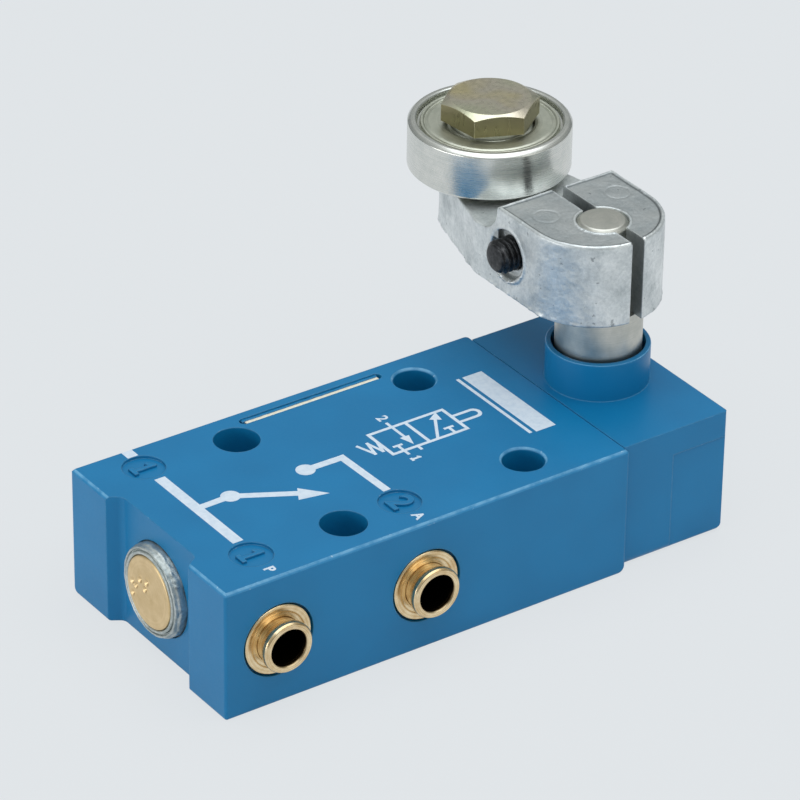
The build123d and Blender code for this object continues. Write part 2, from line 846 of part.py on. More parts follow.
with BuildPart() as cam_pin:
    with Locations((shaft_x, 0, (cam_bottom + cam_top) / 2)):
        Cylinder(cam_pin_d / 2, 2 * (cam_base_r - cam_pin_short), rotation=(90, 0, 0))

# Clamp lever: two jaws round the shaft's pin, joined by the arm that carries the roller


def tangent_point(corner, centre, radius, side):
    """Where a line from the corner touches the circle, on its left (1) or right (-1)."""
    away_x = centre[0] - corner[0]
    away_y = centre[1] - corner[1]
    distance = math.hypot(away_x, away_y)
    heading = math.atan2(away_y, away_x) + side * math.asin(radius / distance)
    reach = math.sqrt(distance**2 - radius**2)
    return (corner[0] + reach * math.cos(heading), corner[1] + reach * math.sin(heading))


near_jaw = shaft_x - clamp_half_width
far_jaw = shaft_x + clamp_half_width
split_length = clamp_back + split_past_step + clamp_half_width
roller_centre = (roller_x, roller_y)
with BuildPart() as clamp_lever:
    with BuildSketch(Plane.XY.offset(clamp_bottom)):
        with Locations(roller_centre):
            Circle(pad_end_r)
        with Locations((shaft_x, clamp_nose_offset)):
            Circle(clamp_half_width)
        with BuildLine():
            Polyline(
                (near_jaw, clamp_nose_offset),
                (near_jaw, taper_start),
                tangent_point((near_jaw, taper_start), roller_centre, pad_end_r, 1),
                roller_centre,
                tangent_point((far_jaw, taper_start), roller_centre, pad_end_r, -1),
                (far_jaw, taper_start),
                (far_jaw, clamp_nose_offset),
                close=True,
            )
        make_face()
    extrude(amount=clamp_top - clamp_bottom)
    # Step down from the jaws to the pad
    with BuildSketch(Plane.XY.offset(pad_top)):
        with Locations((shaft_x, clamp_back)):
            Rectangle(
                4 * clamp_half_width,
                roller_y + 2 * pad_end_r,
                align=(Align.CENTER, Align.MIN),
            )
    extrude(amount=clamp_top - pad_top, mode=Mode.SUBTRACT)
    jaw_top = clamp_lever.faces().sort_by(Axis.Z)[-1]
    fillet(jaw_top.edges(), radius=clamp_edge_round)
    tube(clamp_bottom, clamp_top, 0, shaft_pin_d / 2, shaft_line, Mode.SUBTRACT)
    with BuildSketch(Plane.XY.offset(clamp_bottom)):
        with Locations((shaft_x + clamp_split_offset, clamp_back + split_past_step)):
            Rectangle(clamp_split, 2 * split_length, align=(Align.CENTER, Align.MAX))
    extrude(amount=clamp_top - clamp_bottom, mode=Mode.SUBTRACT)
    # Tapped jaw on the near side, plain hole and head pocket in the far jaw
    tube(near_jaw, shaft_x, 0, clamp_screw_d / 2, clamp_screw_line, Mode.SUBTRACT)
    tube(
        near_jaw,
        near_jaw + clamp_sink_depth,
        0,
        clamp_sink_d / 2,
        clamp_screw_line,
        Mode.SUBTRACT,
    )
    tube(
        shaft_x,
        far_jaw,
        0,
        (clamp_screw_d + clamp_screw_room) / 2,
        clamp_screw_line,
        Mode.SUBTRACT,
    )
    tube(
        far_jaw - clamp_screw_head_t,
        far_jaw,
        0,
        (clamp_screw_head_d + clamp_screw_head_room) / 2,
        clamp_screw_line,
        Mode.SUBTRACT,
    )
    tube(clamp_bottom, clamp_top, 0, bearing_bore_d / 2, roller_line, Mode.SUBTRACT)

with BuildPart() as clamp_screw:
    turned(
        [
            (near_jaw - clamp_screw_out, 0),
            (near_jaw - clamp_screw_out, clamp_screw_d / 2 - clamp_screw_point),
            (near_jaw - clamp_screw_out + clamp_screw_point, clamp_screw_d / 2),
            (far_jaw - clamp_screw_head_t, clamp_screw_d / 2),
            (far_jaw - clamp_screw_head_t, clamp_screw_head_d / 2),
            (far_jaw, clamp_screw_head_d / 2),
            (far_jaw, 0),
        ],
        clamp_screw_line,
    )
    with BuildSketch(Plane(origin=(far_jaw, clamp_screw_y, clamp_screw_z), z_dir=(1, 0, 0))):
        RegularPolygon(clamp_socket_af / 2, 6, major_radius=False)
    extrude(amount=-clamp_socket_depth, mode=Mode.SUBTRACT)

# Hexagon bolt, the roller's axle
bolt_seat = bearing_top
bolt_head_bottom = bolt_seat + bolt_face_t
bolt_head_top = bolt_head_bottom + bolt_head_t
bolt_corner_r = bolt_af / 2 / math.cos(math.radians(30))
with BuildPart() as roller_bolt:
    with BuildSketch(Plane(origin=(roller_x, roller_y, bolt_head_bottom))):
        RegularPolygon(bolt_af / 2, 6, major_radius=False, rotation=bolt_head_turn)
    extrude(amount=bolt_head_t)
    turned(
        [
            (bolt_head_bottom, 0),
            (bolt_head_bottom, bolt_corner_r),
            (bolt_head_top - bolt_head_chamfer, bolt_corner_r),
            (bolt_head_top, bolt_corner_r - 2 * bolt_head_chamfer),
            (bolt_head_top, 0),
        ],
        roller_line,
        Mode.INTERSECT,
    )
    turned(
        [
            (clamp_bottom, 0),
            (clamp_bottom, bearing_bore_d / 2),
            (bolt_seat, bearing_bore_d / 2),
            (bolt_seat, bolt_face_d / 2),
            (bolt_head_bottom, bolt_face_d / 2),
            (bolt_head_bottom, 0),
        ],
        roller_line,
    )

with BuildPart() as roller_washer:
    tube(pad_top, bearing_bottom, bearing_bore_d / 2, washer_d / 2, roller_line)

# Ball bearing
ball_r = ball_d / 2
pitch_r = ball_pitch_d / 2
groove_r = ball_r + ball_gap
inner_ring_r = pitch_r - ball_r + shoulder_height
outer_ring_bore_r = pitch_r + ball_r - shoulder_height
shield_seat_r = outer_ring_bore_r + shield_seat_depth


def ball_groove():
    """Cut the track that the balls run in."""
    with BuildSketch(roller_line) as section:
        with Locations((bearing_middle, pitch_r)):
            Circle(groove_r)
    revolve(section.sketch, axis=Axis(roller_line.origin, Vector(0, 0, 1)), mode=Mode.SUBTRACT)


def end_edges(piece, radius):
    """The circular edges of that radius on the two end faces of a bearing ring."""
    rounds = piece.edges().filter_by(GeomType.CIRCLE)
    return rounds.filter_by(lambda edge: abs(edge.radius - radius) < ball_gap)


with BuildPart() as bearing_inner_ring:
    tube(bearing_bottom, bearing_top, bearing_bore_d / 2, inner_ring_r, roller_line)
    ball_groove()

with BuildPart() as bearing_outer_ring:
    tube(bearing_bottom, bearing_top, outer_ring_bore_r, bearing_d / 2, roller_line)
    chamfer(end_edges(bearing_outer_ring, bearing_d / 2), length=bearing_chamfer)
    ball_groove()
    for start, end in (
        (bearing_bottom, bearing_bottom + shield_sunk + shield_t),
        (bearing_top - shield_sunk - shield_t, bearing_top),
    ):
        tube(start, end, 0, shield_seat_r, roller_line, Mode.SUBTRACT)

with BuildPart() as bearing_shields:
    for start in (bearing_bottom + shield_sunk, bearing_top - shield_sunk - shield_t):
        tube(start, start + shield_t, inner_ring_r + shield_gap, shield_seat_r, roller_line)

ball_centre = Plane(origin=(roller_x, roller_y, bearing_middle))
with BuildPart() as bearing_balls:
    with Locations(ball_centre):
        with PolarLocations(pitch_r, ball_count):
            Sphere(ball_r)

with BuildPart() as ball_cage:
    tube(
        bearing_middle - cage_ring_height / 2,
        bearing_middle + cage_ring_height / 2,
        pitch_r - cage_ring_t / 2,
        pitch_r + cage_ring_t / 2,
        roller_line,
    )
    with Locations(ball_centre):
        with PolarLocations(pitch_r, ball_count):
            Cylinder(
                ball_r + pocket_gap,
                2 * cage_ring_t,
                rotation=(0, 90, 0),
                mode=Mode.SUBTRACT,
            )

pieces = {
    "valve_body": valve_body,
    "head_housing": head_housing,
    "head_screws": head_screws,
    "head_seal": head_seal,
    "end_collar": end_collar,
    "end_disc": end_disc,
    "end_seal": end_seal,
    "valve_cage": valve_cage,
    "cage_seals": cage_seals,
    "tappet_guide": tappet_guide,
    "tappet_seal": tappet_seal,
    "port_inserts": port_inserts,
    "tube_seals": tube_seals,
    "exhaust_strip": exhaust_strip,
    "foot_bush": foot_bush,
    "top_bush": top_bush,
    "shaft_seal": shaft_seal,
    "stop_pin": stop_pin,
    "return_spring": return_spring,
    "lever_shaft": lever_shaft,
    "cam": cam,
    "cam_pin": cam_pin,
    "clamp_lever": clamp_lever,
    "clamp_screw": clamp_screw,
    "roller_bolt": roller_bolt,
    "roller_washer": roller_washer,
    "bearing_inner_ring": bearing_inner_ring,
    "bearing_outer_ring": bearing_outer_ring,
    "bearing_shields": bearing_shields,
    "ball_cage": ball_cage,
    "bearing_balls": bearing_balls,
    "tappet": tappet,
    "exhaust_seal": exhaust_seal,
    "poppet_stem": poppet_stem,
    "supply_seal": supply_seal,
    "collet_supply_front": collet_supply_front,
    "collet_outlet": collet_outlet,
    "collet_supply_back": collet_supply_back,
}

os.makedirs("parts", exist_ok=True)
for name, piece in pieces.items():
    piece.part.label = name
    export_step(piece.part, f"parts/{name}.step")
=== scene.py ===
import math

import bmesh
import bpy
from mathutils import Matrix, Vector, noise


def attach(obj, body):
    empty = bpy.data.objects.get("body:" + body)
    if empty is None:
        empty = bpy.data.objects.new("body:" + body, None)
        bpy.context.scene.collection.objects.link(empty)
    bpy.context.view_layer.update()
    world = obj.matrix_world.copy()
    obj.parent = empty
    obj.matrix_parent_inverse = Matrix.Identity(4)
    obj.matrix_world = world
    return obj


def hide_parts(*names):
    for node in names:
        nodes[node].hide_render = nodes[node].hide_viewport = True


# The looks of a lever-operated limit valve. Sizes in this script are millimetres in the
# part's own frame, and MM turns them into metres.

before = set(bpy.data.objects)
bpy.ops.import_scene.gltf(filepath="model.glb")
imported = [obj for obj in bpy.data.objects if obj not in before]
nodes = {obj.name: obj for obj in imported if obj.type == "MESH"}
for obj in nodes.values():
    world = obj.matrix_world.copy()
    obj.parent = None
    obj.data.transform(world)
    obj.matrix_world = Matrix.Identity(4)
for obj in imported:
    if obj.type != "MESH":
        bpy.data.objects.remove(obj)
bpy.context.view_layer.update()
scene = bpy.context.scene
MM = 0.001

# Places shared with the solids
TOP = 16.0
HALF_WIDTH = 15.5
VALVE_Z = 8.0
SHAFT_X = 30.0
ROLLER = (30.5, 22.3)
PORTS = {"supply_front": (-23.7, -1), "outlet": (-4.4, -1), "supply_back": (-23.7, 1)}


# Camera, at the angle of the photograph
def aim_camera():
    yaw, pitch, roll = 0.6158, 0.5328, 0.0144
    target = Vector((11.94, 13.12, 12.0)) * MM
    distance = 555.5 * MM
    forward = Vector(
        (math.cos(pitch) * math.sin(yaw), math.cos(pitch) * math.cos(yaw), -math.sin(pitch))
    )
    level = Vector((math.cos(yaw), -math.sin(yaw), 0))
    upright = level.cross(forward)
    right = math.cos(roll) * level + math.sin(roll) * upright
    up = math.cos(roll) * upright - math.sin(roll) * level
    data = bpy.data.cameras.new("camera")
    data.lens = 219.12
    data.sensor_width = 36
    data.sensor_fit = "HORIZONTAL"
    data.clip_start = 0.01
    camera = bpy.data.objects.new("camera", data)
    turn = Matrix((right, up, -forward)).transposed().to_4x4()
    camera.matrix_world = Matrix.Translation(target - forward * distance) @ turn
    scene.collection.objects.link(camera)
    scene.camera = camera


aim_camera()
scene.view_settings.view_transform = "Standard"


# Node building
def add(tree, kind, inputs=None, **settings):
    """A shader node with its settings and its inputs, each a value or another socket."""
    made = tree.nodes.new(kind)
    for key, value in settings.items():
        setattr(made, key, value)
    for key, value in (inputs or {}).items():
        if isinstance(value, bpy.types.NodeSocket):
            tree.links.new(value, made.inputs[key])
        else:
            made.inputs[key].default_value = value
    return made


def ramp(tree, factor, stops):
    """A colour ramp: stops are (place, grey) or (place, (r, g, b))."""
    made = add(tree, "ShaderNodeValToRGB", {"Fac": factor})
    elements = made.color_ramp.elements
    for index, (place, value) in enumerate(stops):
        colour = value if isinstance(value, tuple) else (value, value, value)
        element = elements[index] if index < 2 else elements.new(place)
        element.position = place
        element.color = (*colour, 1)
    return made.outputs["Color"]


def maths(tree, operation, first, second=0.0):
    return add(tree, "ShaderNodeMath", {0: first, 1: second}, operation=operation).outputs[0]


def mix(tree, factor, first, second, kind="MIX"):
    made = add(tree, "ShaderNodeMix", data_type="RGBA", blend_type=kind)
    for socket, value in ((made.inputs[0], factor), (made.inputs[6], first), (made.inputs[7], second)):
        if isinstance(value, bpy.types.NodeSocket):
            tree.links.new(value, socket)
        elif isinstance(value, tuple):
            socket.default_value = (*value, 1)
        else:
            socket.default_value = value
    return made.outputs[2]


def in_mm(tree):
    """Place on the object in millimetres."""
    place = add(tree, "ShaderNodeTexCoord").outputs["Object"]
    return add(
        tree, "ShaderNodeVectorMath", {0: place, 1: (1000, 1000, 1000)}, operation="MULTIPLY"
    ).outputs[0]


def stretched(tree, vector, factors):
    return add(
        tree, "ShaderNodeVectorMath", {0: vector, 1: factors}, operation="MULTIPLY"
    ).outputs[0]


def speckle(tree, vector, scale, detail=3.0, roughness=0.55):
    inputs = {"Vector": vector, "Scale": scale, "Detail": detail, "Roughness": roughness}
    return add(tree, "ShaderNodeTexNoise", inputs).outputs["Fac"]


def rounds(tree, vector, centre, keep):
    """(distance from a turning axis, place along it, 0), for marks left by turning."""
    away = add(tree, "ShaderNodeVectorMath", {0: vector, 1: centre}, operation="SUBTRACT").outputs[0]
    across = stretched(tree, away, keep)
    radius = add(tree, "ShaderNodeVectorMath", {0: across}, operation="LENGTH").outputs["Value"]
    along = tuple(1 - part for part in keep)
    reach = add(tree, "ShaderNodeVectorMath", {0: away, 1: along}, operation="DOT_PRODUCT")
    inputs = {"X": radius, "Y": reach.outputs["Value"]}
    return add(tree, "ShaderNodeCombineXYZ", inputs).outputs[0]


def soft_edges(tree, radius_mm):
    """The surface normal with its edges rounded, and a mask that is 1 on those edges."""
    rounded = add(tree, "ShaderNodeBevel", {"Radius": radius_mm * MM}, samples=6).outputs[0]
    true = add(tree, "ShaderNodeNewGeometry").outputs["Normal"]
    dot = add(tree, "ShaderNodeVectorMath", {0: rounded, 1: true}, operation="DOT_PRODUCT")
    edge = ramp(tree, dot.outputs["Value"], [(0.86, 1.0), (0.985, 0.0)])
    return rounded, edge


def bump(tree, height, strength, distance_mm, normal=None):
    inputs = {"Height": height, "Strength": strength, "Distance": distance_mm * MM}
    if normal is not None:
        inputs["Normal"] = normal
    return add(tree, "ShaderNodeBump", inputs).outputs[0]


def material(name, metallic=0.0, roughness=0.5):
    made = bpy.data.materials.new(name)
    made.use_nodes = True
    tree = made.node_tree
    shader = tree.nodes["Principled BSDF"]
    shader.inputs["Metallic"].default_value = metallic
    shader.inputs["Roughness"].default_value = roughness
    return made, tree, shader


def feed(tree, shader, **sockets):
    for key, value in sockets.items():
        tree.links.new(value, shader.inputs[key.replace("_", " ")])


def moulded_blue():
    made, tree, shader = material("moulded_blue")
    place = in_mm(tree)
    rounded, edge = soft_edges(tree, 0.22)
    broad = speckle(tree, place, 0.09, 2)
    fine = speckle(tree, place, 3.2, 4, 0.7)
    colour = ramp(tree, broad, [(0.35, (0.0028, 0.158, 0.352)), (0.65, (0.0036, 0.176, 0.386))])
    facing = add(tree, "ShaderNodeTexCoord").outputs["Normal"]
    upward = add(tree, "ShaderNodeSeparateXYZ", {0: facing}).outputs["Z"]
    # Painted highlight: a lighter blue band on the rounded upper edges of the top face, and a fainter one on every
    # bevelled edge, broken up by noise
    rim = ramp(tree, upward, [(0.50, 0.0), (0.78, 0.0), (0.60, 1.0), (0.68, 1.0)])
    patchy_highlight = ramp(tree, speckle(tree, place, 0.8, 3), [(0.35, 0.35), (0.6, 1.0)])
    height = add(tree, "ShaderNodeSeparateXYZ", {0: place}).outputs["Z"]
    crest = ramp(tree, maths(tree, "SUBTRACT", height, TOP - 0.5), [(0.26, 0.22), (0.34, 1.0)])
    rim = maths(tree, "MULTIPLY", rim, crest)
    both = maths(tree, "MAXIMUM", rim, maths(tree, "MULTIPLY", edge, 0.3))
    colour = mix(tree, maths(tree, "MULTIPLY", both, patchy_highlight), colour, (0.18, 0.43, 0.64))
    nicks = ramp(tree, speckle(tree, place, 1.7, 3), [(0.655, 0.0), (0.70, 1.0)])
    colour = mix(tree, maths(tree, "MULTIPLY", both, nicks), colour, (0.50, 0.66, 0.76))
    rough = ramp(tree, fine, [(0.3, 0.33), (0.7, 0.43)])
    normal = bump(tree, fine, 0.10, 0.03, rounded)
    normal = bump(tree, speckle(tree, place, 0.25, 2), 0.10, 0.15, normal)
    feed(tree, shader, Base_Color=colour, Roughness=rough, Normal=normal)
    shader.inputs["Specular IOR Level"].default_value = 0.34
    return made


def print_white():
    made, tree, shader = material("print_white")
    place = in_mm(tree)
    colour = ramp(tree, speckle(tree, place, 1.6, 4), [(0.3, (0.54, 0.64, 0.74)), (0.6, (0.64, 0.72, 0.80))])
    feed(tree, shader, Base_Color=colour, Roughness=ramp(tree, speckle(tree, place, 5), [(0.3, 0.5), (0.7, 0.65)]))
    return made


def cast_zinc(name, dark, light):
    made, tree, shader = material(name, metallic=0.82)
    place = in_mm(tree)
    rounded, edge = soft_edges(tree, 0.12)
    blotch = speckle(tree, place, 0.32, 5, 0.62)
    grain = speckle(tree, place, 2.6, 5, 0.7)
    mixed = maths(tree, "ADD", maths(tree, "MULTIPLY", blotch, 0.62), maths(tree, "MULTIPLY", grain, 0.38))
    colour = ramp(tree, mixed, [(0.36, dark), (0.62, light)])
    spots = ramp(tree, speckle(tree, place, 1.15, 2), [(0.685, 0.0), (0.72, 0.6)])
    colour = mix(tree, spots, colour, (0.18, 0.20, 0.21))
    # Painted highlight: edges lightened towards near-white
    colour = mix(tree, maths(tree, "MULTIPLY", edge, 0.7), colour, (0.88, 0.90, 0.90))
    # Painted shade from a mesh attribute: dark on the walls of the split, in the mouths of the screw hole, on the flat
    # top and in a line inside the rolled edge; also darker ejector rings and patches along the bottom edge
    dull = add(tree, "ShaderNodeAttribute", attribute_name="dull").outputs["Fac"]
    colour = mix(tree, dull, colour, (0.10, 0.115, 0.12))
    rough = ramp(tree, mixed, [(0.35, 0.54), (0.65, 0.34)])
    normal = bump(tree, grain, 0.26, 0.06, rounded)
    normal = bump(tree, blotch, 0.42, 0.30, normal)
    feed(tree, shader, Base_Color=colour, Roughness=rough, Normal=normal)
    return made


def turned_metal(name, centre, keep, dark, light, rough=(0.22, 0.34), marks=6.0, strength=0.10, shaded_bore=0.0):
    """A metal with fine marks round its turning axis, and painted shade inside its bore when one is given."""
    made, tree, shader = material(name, metallic=1.0)
    place = in_mm(tree)
    rounded, edge = soft_edges(tree, 0.06)
    turning = rounds(tree, place, centre, keep)
    lines = speckle(tree, stretched(tree, turning, (1.0, 1.0, 0.0)), marks, 4, 0.7)
    stain = speckle(tree, place, 0.7, 4, 0.6)
    mixed = maths(tree, "ADD", maths(tree, "MULTIPLY", lines, 0.5), maths(tree, "MULTIPLY", stain, 0.5))
    colour = ramp(tree, mixed, [(0.38, dark), (0.62, light)])
    # Painted shade: dark brown inside the bore
    if shaded_bore:
        radius = add(tree, "ShaderNodeSeparateXYZ", {0: turning}).outputs["X"]
        inside = ramp(tree, maths(tree, "SUBTRACT", radius, shaded_bore), [(0.0, 1.0), (0.12, 0.0)])
        colour = mix(tree, inside, colour, (0.07, 0.045, 0.02))
    feed(
        tree,
        shader,
        Base_Color=colour,
        Roughness=ramp(tree, lines, [(0.3, rough[0]), (0.7, rough[1])]),
        Normal=bump(tree, lines, strength, 0.03, rounded),
    )
    return made


def plain_metal(name, dark, light, rough=(0.25, 0.4), scale=1.2, metallic=1.0):
    made, tree, shader = material(name, metallic=metallic)
    place = in_mm(tree)
    rounded, edge = soft_edges(tree, 0.10)
    stain = speckle(tree, place, scale, 5, 0.62)
    # Painted highlight: edges lightened towards the light tone
    feed(
        tree,
        shader,
        Base_Color=mix(tree, maths(tree, "MULTIPLY", edge, 0.5), ramp(tree, stain, [(0.35, dark), (0.65, light)]), light),
        Roughness=ramp(tree, stain, [(0.3, rough[1]), (0.7, rough[0])]),
        Normal=bump(tree, speckle(tree, place, scale * 5, 3), 0.12, 0.02, rounded),
    )
    return made


def yellow_zinc():
    made, tree, shader = material("yellow_zinc", metallic=1.0)
    place = in_mm(tree)
    rounded, edge = soft_edges(tree, 0.10)
    tint = speckle(tree, place, 0.16, 2, 0.4)
    colour = ramp(
        tree,
        tint,
        [
            (0.30, (0.57, 0.58, 0.42)),
            (0.72, (0.64, 0.56, 0.34)),
            (0.45, (0.60, 0.57, 0.45)),
            (0.57, (0.60, 0.55, 0.45)),
        ],
    )
    # Painted shade: the hexagon's flanks, facing sideways, turn dark olive
    facing = add(tree, "ShaderNodeTexCoord").outputs["Normal"]
    upward = add(tree, "ShaderNodeSeparateXYZ", {0: facing}).outputs["Z"]
    shaded_flank = ramp(tree, upward, [(0.12, 0.88), (0.40, 0.0)])
    colour = mix(tree, shaded_flank, colour, (0.245, 0.215, 0.105))
    # Painted highlight: edges lightened to pale yellow
    colour = mix(tree, maths(tree, "MULTIPLY", edge, 0.8), colour, (0.90, 0.84, 0.58))
    drawn = speckle(tree, stretched(tree, place, (1.0, 1.0, 0.15)), 1.6, 1, 0.4)
    feed(
        tree,
        shader,
        Base_Color=colour,
        Roughness=ramp(tree, drawn, [(0.3, 0.24), (0.7, 0.36)]),
        Normal=bump(tree, drawn, 0.05, 0.02, rounded),
    )
    return made


def black_rubber():
    made, tree, shader = material("black_rubber")
    place = in_mm(tree)
    grain = speckle(tree, place, 4.0, 4)
    feed(
        tree,
        shader,
        Base_Color=ramp(tree, grain, [(0.3, (0.012, 0.012, 0.013)), (0.7, (0.026, 0.026, 0.027))]),
        Roughness=ramp(tree, grain, [(0.3, 0.55), (0.7, 0.75)]),
        Normal=bump(tree, grain, 0.15, 0.02),
    )
    return made


def cage_plastic():
    made, tree, shader = material("cage_plastic")
    place = in_mm(tree)
    grain = speckle(tree, place, 2.0, 4)
    feed(
        tree,
        shader,
        Base_Color=ramp(tree, grain, [(0.3, (0.42, 0.33, 0.19)), (0.7, (0.52, 0.42, 0.26))]),
        Roughness=ramp(tree, grain, [(0.3, 0.4), (0.7, 0.55)]),
        Normal=bump(tree, grain, 0.1, 0.02),
    )
    return made


BLUE = moulded_blue()
PRINT = print_white()
LEVER_ZINC = cast_zinc("lever_zinc", (0.46, 0.50, 0.51), (0.76, 0.79, 0.79))
COLLAR_ZINC = cast_zinc("collar_zinc", (0.26, 0.31, 0.31), (0.62, 0.65, 0.63))
BRASS_PALE = (0.92, 0.76, 0.50)
BRASS_DEEP = (0.63, 0.44, 0.22)
PORT_BRASS = {
    name: turned_metal(
        f"brass_{name}", (x, 0, VALVE_Z), (1, 0, 1), BRASS_DEEP, BRASS_PALE, (0.2, 0.32), 5.0, 0.16, 2.22
    )
    for name, (x, side) in PORTS.items()
}
DISC_BRASS = turned_metal(
    "disc_brass", (0, 0, VALVE_Z), (0, 1, 1), (0.64, 0.47, 0.24), (0.78, 0.60, 0.35), (0.36, 0.48), 2.0, 0.05
)
PLAIN_BRASS = plain_metal("plain_brass", (0.66, 0.50, 0.25), (0.88, 0.74, 0.45))
LEAF_BRASS = plain_metal("leaf_brass", (0.84, 0.78, 0.62), (0.93, 0.90, 0.78), (0.4, 0.55), 1.2, 0.5)
BRONZE = plain_metal("bronze", (0.40, 0.24, 0.11), (0.55, 0.35, 0.17))
SHAFT_STEEL = turned_metal(
    "shaft_steel", (SHAFT_X, 0, 0), (1, 1, 0), (0.46, 0.47, 0.43), (0.62, 0.61, 0.56), (0.32, 0.44), 7.0, 0.08
)
RING_STEEL = turned_metal(
    "ring_steel", (*ROLLER, 0), (1, 1, 0), (0.60, 0.62, 0.59), (0.73, 0.73, 0.69), (0.24, 0.31), 9.0, 0.03
)
SHIELD_STEEL = turned_metal(
    "shield_steel", (*ROLLER, 0), (1, 1, 0), (0.48, 0.50, 0.42), (0.63, 0.64, 0.55), (0.36, 0.48), 5.0, 0.08
)
STEEL = plain_metal("steel", (0.42, 0.43, 0.44), (0.62, 0.63, 0.63))
BLACK_STEEL = plain_metal("black_steel", (0.012, 0.013, 0.015), (0.05, 0.052, 0.055), (0.24, 0.42), 2.0, 0.75)
BALL_STEEL = plain_metal("ball_steel", (0.70, 0.70, 0.70), (0.78, 0.78, 0.78), (0.06, 0.10))
YELLOW_ZINC = yellow_zinc()
RUBBER = black_rubber()
CAGE = cage_plastic()

NODE_MATERIALS = {
    "valve_body": BLUE,
    "head_housing": BLUE,
    "head_screws": BLACK_STEEL,
    "clamp_screw": BLACK_STEEL,
    "clamp_lever": LEVER_ZINC,
    "end_collar": COLLAR_ZINC,
    "end_disc": DISC_BRASS,
    "exhaust_strip": PLAIN_BRASS,
    "port_inserts": PLAIN_BRASS,
    "collet_supply_front": PORT_BRASS["supply_front"],
    "collet_outlet": PORT_BRASS["outlet"],
    "collet_supply_back": PORT_BRASS["supply_back"],
    "valve_cage": PLAIN_BRASS,
    "poppet_stem": PLAIN_BRASS,
    "tappet_guide": PLAIN_BRASS,
    "foot_bush": BRONZE,
    "top_bush": BRONZE,
    "tappet": STEEL,
    "stop_pin": STEEL,
    "cam_pin": STEEL,
    "return_spring": STEEL,
    "cam": STEEL,
    "lever_shaft": SHAFT_STEEL,
    "roller_bolt": YELLOW_ZINC,
    "roller_washer": YELLOW_ZINC,
    "bearing_inner_ring": RING_STEEL,
    "bearing_outer_ring": RING_STEEL,
    "bearing_shields": SHIELD_STEEL,
    "bearing_balls": BALL_STEEL,
    "ball_cage": CAGE,
}
for name, node in nodes.items():
    node.data.materials.clear()
    node.data.materials.append(NODE_MATERIALS.get(name, RUBBER))


# Shapes
def finish_mesh(name, mesh, body, finish, sharp=35):
    mesh.polygons.foreach_set("use_smooth", [True] * len(mesh.polygons))
    mesh.set_sharp_from_angle(angle=math.radians(sharp))
    mesh.materials.clear()
    mesh.materials.append(finish)
    piece = bpy.data.objects.new(name, mesh)
    scene.collection.objects.link(piece)
    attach(piece, body)
    return piece


def from_bmesh(name, shape, body, finish, sharp=35):
    bmesh.ops.remove_doubles(shape, verts=shape.verts, dist=0.5e-6)
    bmesh.ops.recalc_face_normals(shape, faces=shape.faces)
    mesh = bpy.data.meshes.new(name)
    shape.to_mesh(mesh)
    shape.free()
    return finish_mesh(name, mesh, body, finish, sharp)


def softened(outline, size, steps=3):
    """The closed outline of (along, radius) points with its corners rounded."""
    out = []
    count = len(outline)
    for index in range(count):
        before, corner, after = (Vector(outline[(index + shift) % count]) for shift in (-1, 0, 1))
        to_before, to_after = before - corner, after - corner
        cut = min(size, 0.4 * to_before.length, 0.4 * to_after.length)
        if corner.y < 1e-6 or cut < 1e-4:
            out.append(tuple(corner))
            continue
        start = corner + to_before.normalized() * cut
        end = corner + to_after.normalized() * cut
        for step in range(steps + 1):
            t = step / steps
            out.append(tuple(start * (1 - t) ** 2 + corner * 2 * t * (1 - t) + end * t**2))
    return out


def upright_at(x, y):
    return lambda along, radius, turn: Vector((x + radius * math.cos(turn), y + radius * math.sin(turn), along))


def lengthwise(along, radius, turn):
    return Vector((along, radius * math.cos(turn), VALVE_Z + radius * math.sin(turn)))


def out_of_port(x, side):
    return lambda along, radius, turn: Vector(
        (x + radius * math.cos(turn), side * (HALF_WIDTH + along), VALVE_Z + radius * math.sin(turn))
    )


def lathe(shape, outline, place, steps=144, change=None):
    """Turn the closed outline about its axis and add it to the shape."""
    rings = []
    for along, radius in outline:
        if radius < 1e-6:
            rings.append([shape.verts.new(place(along, 0, 0) * MM)])
            continue
        ring = []
        for step in range(steps):
            turn = 2 * math.pi * step / steps
            at = place(along, radius, turn)
            if change is not None:
                at = at + change(along, radius, turn)
            ring.append(shape.verts.new(at * MM))
        rings.append(ring)
    for first, second in zip(rings, rings[1:] + rings[:1]):
        for step in range(steps):
            onward = (step + 1) % steps
            if len(first) == 1 and len(second) == 1:
                break
            if len(first) == 1:
                shape.faces.new((first[0], second[step], second[onward]))
            elif len(second) == 1:
                shape.faces.new((first[step], second[0], first[onward]))
            else:
                shape.faces.new((first[step], second[step], second[onward], first[onward]))


def turned(name, outlines, place, body, finish, steps=144, round_by=0.06, change=None):
    shape = bmesh.new()
    for outline in outlines:
        lathe(shape, softened(outline, round_by), place, steps, change)
    return from_bmesh(name, shape, body, finish)


def wander(at, scale, size, seed=0.0):
    """A smooth push in every direction, never the same in two places.

    It is built from plain noise, because noise_vector takes its seed from the clock.
    """
    place = at * scale + Vector((seed, seed, seed))
    return Vector([noise.noise(place + Vector((shift, 0, 0))) for shift in (0.0, 31.4, 67.8)]) * size


# Lever shaft and its polished pin
shaft = turned(
    "shaft_turned",
    [
        [
            (1.0, 0), (1.0, 3.0), (10.85, 3.0), (10.85, 4.0), (17.1, 4.0), (17.1, 5.0),
            (25.66, 5.0), (25.66, 3.0), (35.5, 3.0), (35.94, 2.62), (36.0, 2.5), (36.0, 0),
        ]
    ],
    upright_at(SHAFT_X, 0),
    "lever",
    SHAFT_STEEL,
)
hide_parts("lever_shaft")

